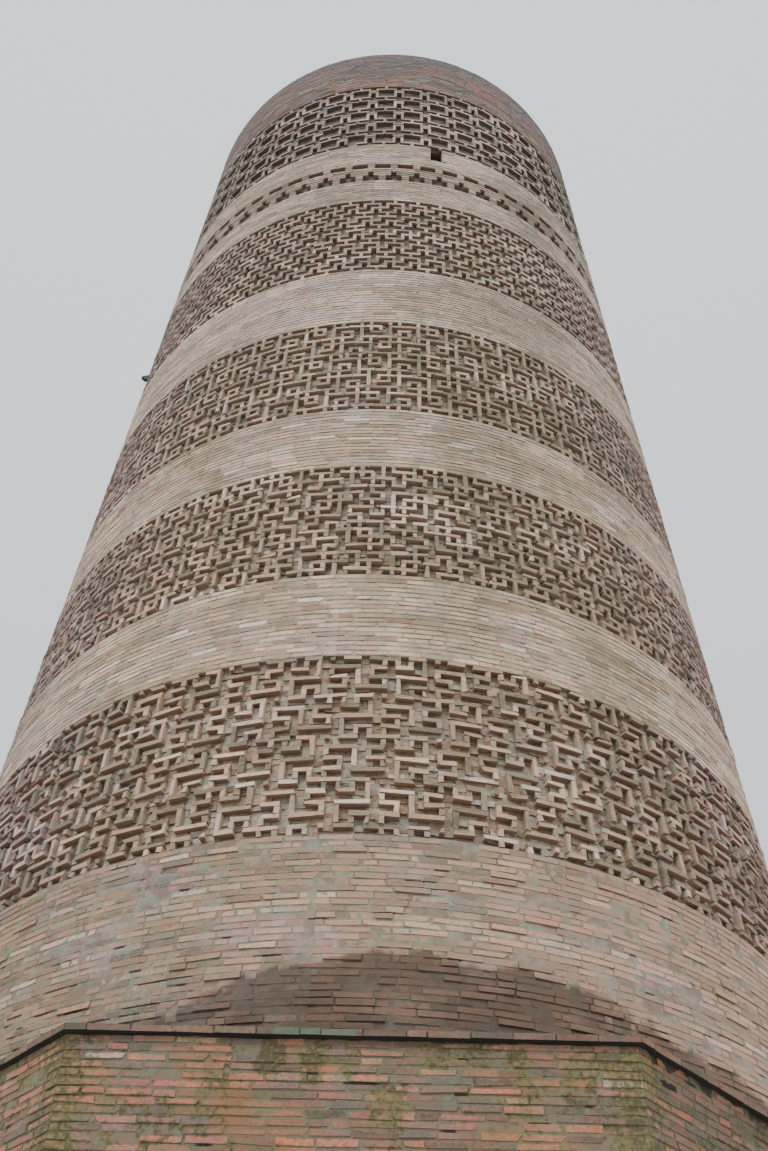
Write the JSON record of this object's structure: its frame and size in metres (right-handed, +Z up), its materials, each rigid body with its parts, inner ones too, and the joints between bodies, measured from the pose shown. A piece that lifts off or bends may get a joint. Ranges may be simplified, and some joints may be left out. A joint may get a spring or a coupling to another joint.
{
  "type": "round brick minaret",
  "caption": "Tapering round brick minaret on an octagonal plinth, with bands of raised brick meanders, a hollow well and an open platform inside a rim wall.",
  "frame": {"origin": "on the ground, on the tower's axis", "axes": "+Z up, -Y towards the front face of the plinth, +X to the right seen from the front"},
  "size_m": [8.52, 8.52, 23.08],
  "materials": {
    "plinth_brick": "weathered red-brown fired brick with moss and lime mortar",
    "shaft_brick": "weathered buff fired brick with grey-green mortar",
    "relief_ground": "dusty recessed brick ground in shadow",
    "dark_metal": "dull dark green-grey paint"
  },
  "bodies": {
    "root": {"plinth_wall_front": "plinth_brick", "plinth_wall_front_right": "plinth_brick", "plinth_wall_right": "plinth_brick", "plinth_wall_back_right": "plinth_brick", "plinth_wall_back_left_of_door": "plinth_brick", "plinth_wall_back_right_of_door": "plinth_brick", "plinth_wall_over_door": "plinth_brick", "plinth_wall_back_left": "plinth_brick", "plinth_wall_left": "plinth_brick", "plinth_wall_front_left": "plinth_brick", "door_arch": "plinth_brick", "coping_front": "plinth_brick", "coping_front_right": "plinth_brick", "coping_right": "plinth_brick", "coping_back_right": "plinth_brick", "coping_back": "plinth_brick", "coping_back_left": "plinth_brick", "coping_left": "plinth_brick", "coping_front_left": "plinth_brick", "shaft_foot": "shaft_brick", "pattern_band_1": "relief_ground", "plain_band_1": "shaft_brick", "pattern_band_2": "relief_ground", "plain_band_2": "shaft_brick", "pattern_band_3": "relief_ground", "plain_band_3": "shaft_brick", "pattern_band_4": "relief_ground", "plain_band_4": "shaft_brick", "slot_frieze": "relief_ground", "plain_band_5_left": "shaft_brick", "plain_band_5_right": "shaft_brick", "light_sill_front": "shaft_brick", "light_sill_back": "shaft_brick", "pattern_band_5": "relief_ground", "wall_head": "shaft_brick", "platform_slab": "shaft_brick", "rim_wall_left": "shaft_brick", "rim_wall_right": "shaft_brick", "side_metal_box": "dark_metal"}
  },
  "joints": []
}
